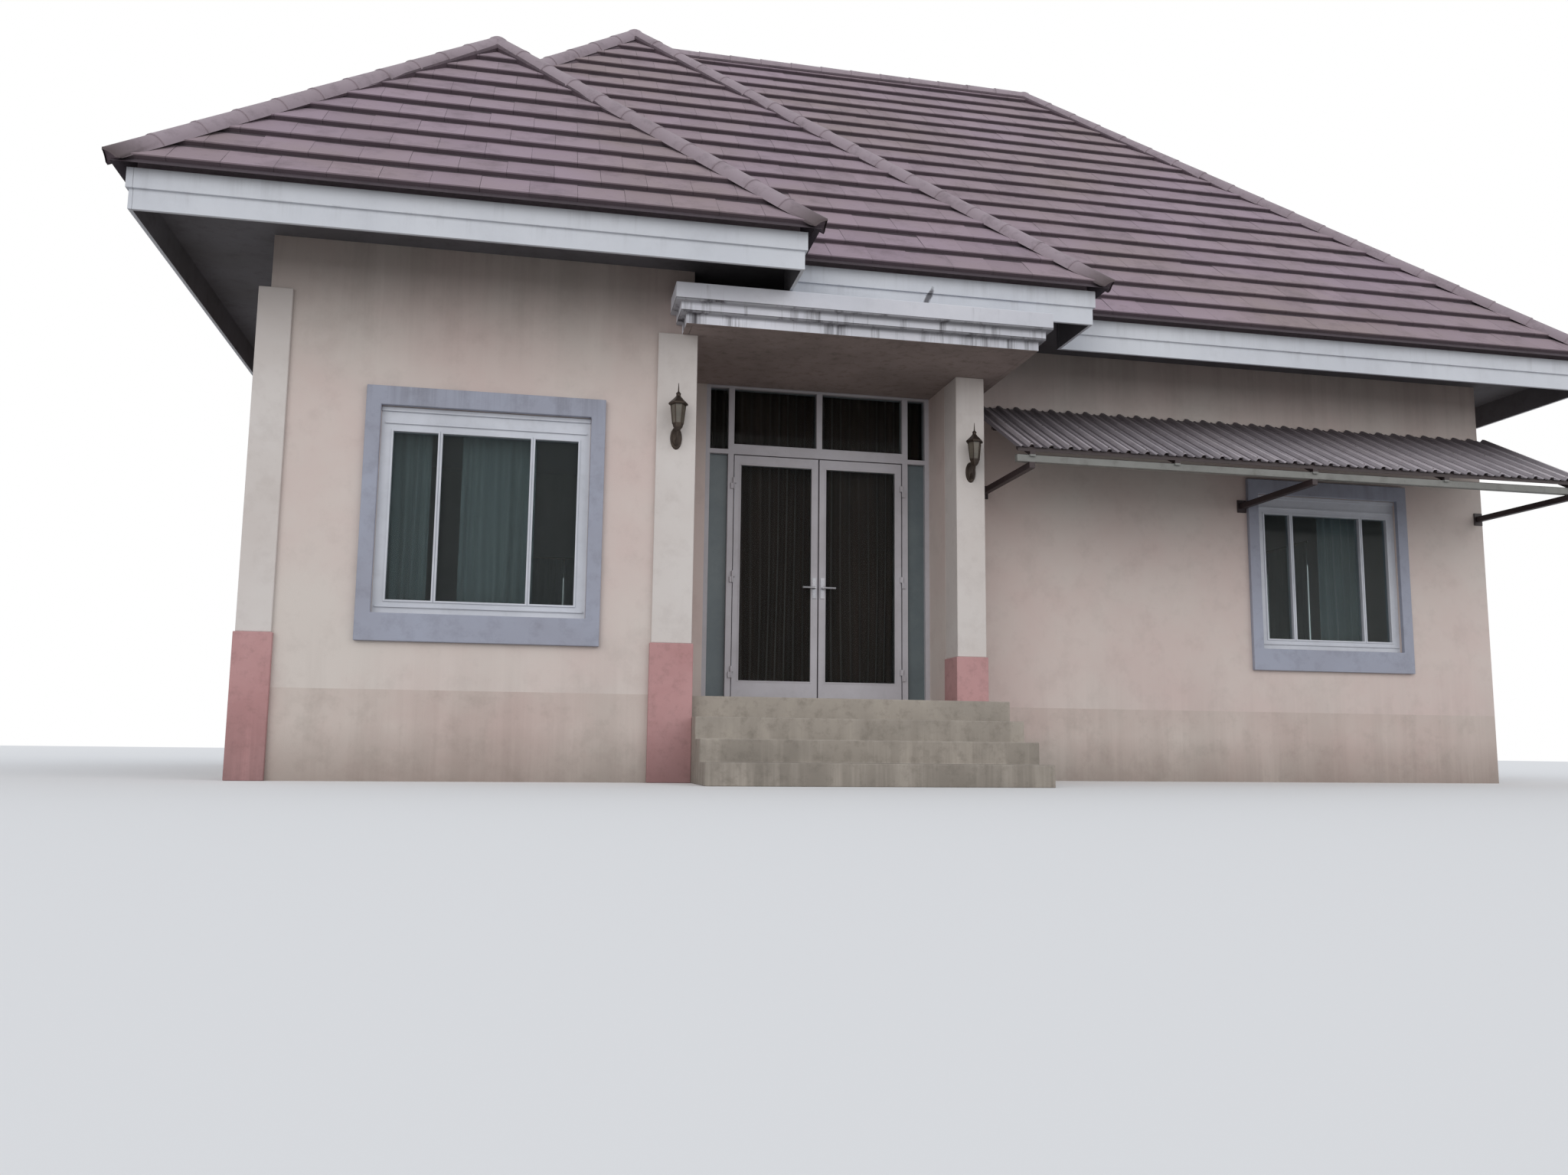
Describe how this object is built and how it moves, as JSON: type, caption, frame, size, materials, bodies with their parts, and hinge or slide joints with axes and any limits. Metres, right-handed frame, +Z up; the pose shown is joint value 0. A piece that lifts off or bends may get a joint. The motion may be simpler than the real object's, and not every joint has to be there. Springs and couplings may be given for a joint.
{
  "type": "single-storey house",
  "caption": "Single-storey bungalow with nested hip roofs, a recessed porch under a moulded canopy, glazed double doors, an awning and lanterns.",
  "frame": {"origin": "middle of the house's outer box, on the ground that it stands on", "axes": "+X to the right along the front, +Y towards the back, +Z up"},
  "size_m": [12.63, 9.41, 8.4766],
  "materials": {
    "wall_render": "painted cement render, pinkish beige, water-stained",
    "floor_concrete": "smooth cement",
    "column_paint": "off-white painted render",
    "base_paint": "salmon painted render",
    "soffit_board": "grey painted fibre-cement board",
    "roof_timber": "sawn timber",
    "roof_tile": "weathered purple-brown cement tile",
    "cap_tile": "weathered taupe cement cap tile",
    "fascia_paint": "bluish white painted board, dirty",
    "canopy_paint": "white painted render with black mould",
    "canopy_underside": "stained render",
    "surround_paint": "blue-grey painted render",
    "frame_white": "white powder coat",
    "glass": "dark clear glass",
    "handle_metal": "brushed",
    "rear_door_wood": "varnished",
    "lamp_metal": "dark bronze, rough",
    "awning_metal": "faded grey-lilac ribbed sheet",
    "awning_steel": "dark red primer, rusty"
  },
  "bodies": {
    "house": {"plinth": "wall_render", "floor_slab": "floor_concrete", "wing_front_wall": "wall_render", "wing_return_wall": "wall_render", "left_wall": "wall_render", "back_wall": "wall_render", "right_wall": "wall_render", "main_front_wall": "wall_render", "door_side_wall": "wall_render", "door_head_wall": "wall_render", "porch_return_wall": "wall_render", "left_pillar": "column_paint", "left_porch_column": "column_paint", "right_porch_column": "column_paint", "column_bases": "base_paint", "porch_and_steps": "floor_concrete", "soffit_and_ceiling": "soffit_board", "eave_beams": "roof_timber", "wing_roof": "roof_tile", "entry_roof": "roof_tile", "main_roof": "roof_tile", "ridge_and_hip_caps": "cap_tile", "wing_fascia": "fascia_paint", "entry_fascia": "fascia_paint", "main_fascia": "fascia_paint", "porch_canopy": "canopy_underside", "canopy_moulding": "canopy_paint", "window_surrounds": "surround_paint", "window_frames": "frame_white", "window_glass": "glass", "door_frame": "frame_white", "door_frame_glass": "glass", "rear_door": "rear_door_wood", "wall_lamps": "lamp_metal", "awning_sheet": "awning_metal", "awning_frame": "awning_steel"},
    "left_leaf": {"left_door_leaf": "frame_white", "left_door_glass": "glass", "left_door_handle": "handle_metal"},
    "right_leaf": {"right_door_leaf": "frame_white", "right_door_glass": "glass", "right_door_handle": "handle_metal"}
  },
  "joints": [
    {"name": "left_leaf_hinge", "type": "hinge", "parent": "house", "child": "left_leaf", "pos_m": [-1.85, -2.575, 1.7], "axis": [0, 0, -1], "range_deg": [0, 90]},
    {"name": "right_leaf_hinge", "type": "hinge", "parent": "house", "child": "right_leaf", "pos_m": [-0.33, -2.575, 1.7], "axis": [0, 0, 1], "range_deg": [0, 90]}
  ]
}
